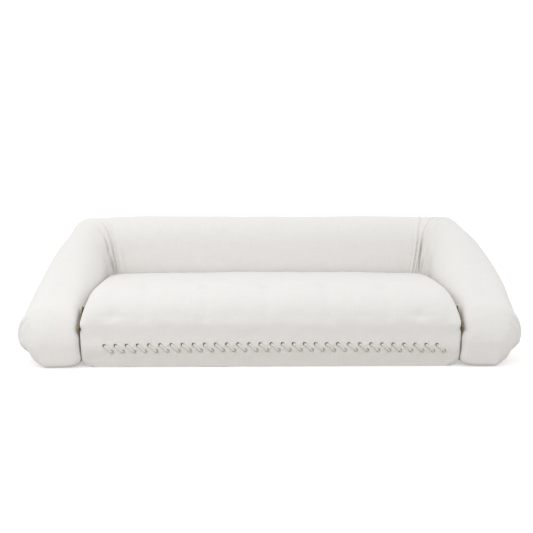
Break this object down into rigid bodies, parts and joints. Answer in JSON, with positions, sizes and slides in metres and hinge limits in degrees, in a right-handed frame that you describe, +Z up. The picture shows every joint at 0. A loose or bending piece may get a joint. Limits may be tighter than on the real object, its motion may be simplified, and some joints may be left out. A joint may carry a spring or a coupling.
{
  "type": "sofa bed",
  "caption": "Low upholstered sofa bed with one padded roll as back and sloping arms; the tufted top half of its seat folds out forward to make a bed.",
  "frame": {"origin": "on the floor, under the middle of the whole sofa's box", "axes": "+X to the right as seen from the front, +Y towards the back, +Z up; the front faces -Y"},
  "size_m": [2.4, 1.03, 0.65],
  "materials": {
    "cover_fabric": "matte",
    "band_webbing": "matte",
    "rope_cotton": "matte",
    "eyelet_enamel": "satin",
    "frame_enamel": "satin",
    "hinge_steel": "satin",
    "foam": "matte",
    "slat_beech": "satin",
    "socket_plastic": "matte",
    "glide_rubber": "matte",
    "dust_cloth": "matte"
  },
  "bodies": {
    "base": {"base_frame": "frame_enamel", "roll_tube": "frame_enamel", "roll_posts": "frame_enamel", "floor_glides": "glide_rubber", "base_slats": "slat_beech", "base_slat_sockets": "socket_plastic", "base_foam": "foam", "base_cover": "cover_fabric", "bottom_cloth": "dust_cloth", "upper_lacing_band": "band_webbing", "lower_lacing_band": "band_webbing", "upper_eyelets": "eyelet_enamel", "lower_eyelets": "eyelet_enamel", "lace": "rope_cotton", "lace_knots": "rope_cotton", "back_foam": "foam", "back_cover": "cover_fabric", "left_arm_foam": "foam", "left_arm_cover": "cover_fabric", "right_arm_foam": "foam", "right_arm_cover": "cover_fabric", "left_base_leaf": "hinge_steel", "right_base_leaf": "hinge_steel", "left_base_bolts": "hinge_steel", "right_base_bolts": "hinge_steel", "left_pin_washer": "hinge_steel", "right_pin_washer": "hinge_steel", "hinge_cloth": "cover_fabric"},
    "fold_out": {"fold_cover": "cover_fabric", "seat_foam": "foam", "sleep_foam": "foam", "fold_frame": "frame_enamel", "fold_slats": "slat_beech", "fold_slat_sockets": "socket_plastic", "left_fold_leaf": "hinge_steel", "right_fold_leaf": "hinge_steel", "left_fold_bolts": "hinge_steel", "right_fold_bolts": "hinge_steel", "pull_tab": "band_webbing"}
  },
  "joints": [
    {"name": "seat_fold", "type": "hinge", "parent": "base", "child": "fold_out", "pos_m": [0, -0.5, 0.186], "axis": [1, 0, 0], "range_deg": [0, 180], "deforming": ["hinge_cloth"]}
  ]
}
